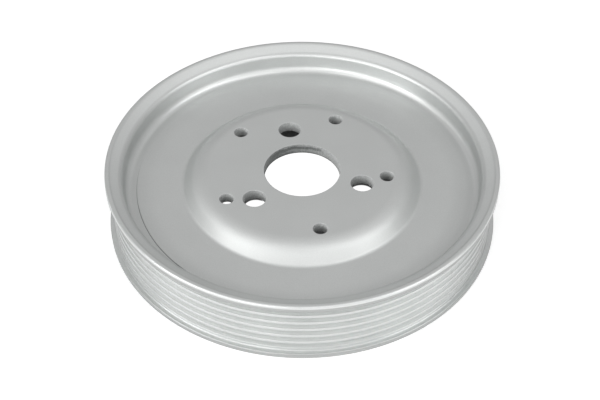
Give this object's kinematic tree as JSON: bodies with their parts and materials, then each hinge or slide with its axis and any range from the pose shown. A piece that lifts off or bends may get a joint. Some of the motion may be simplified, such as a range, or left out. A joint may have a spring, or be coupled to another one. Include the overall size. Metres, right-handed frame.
{
  "type": "power steering pump pulley",
  "caption": "Ribbed belt pulley rolled from sheet steel: grooved rim between two flanges, dished web, raised flat hub with a centre bore and bolt holes.",
  "frame": {"origin": "on the axis of the pulley, in the plane of the rim's lower face", "axes": "+Z along the axis, towards the open dished front; +X to the picture's right; +Y away from the camera"},
  "size_m": [0.157, 0.157, 0.0283],
  "materials": {
    "silver_coated_steel": "satin"
  },
  "bodies": {
    "root": {"pulley": "silver_coated_steel"}
  },
  "joints": []
}
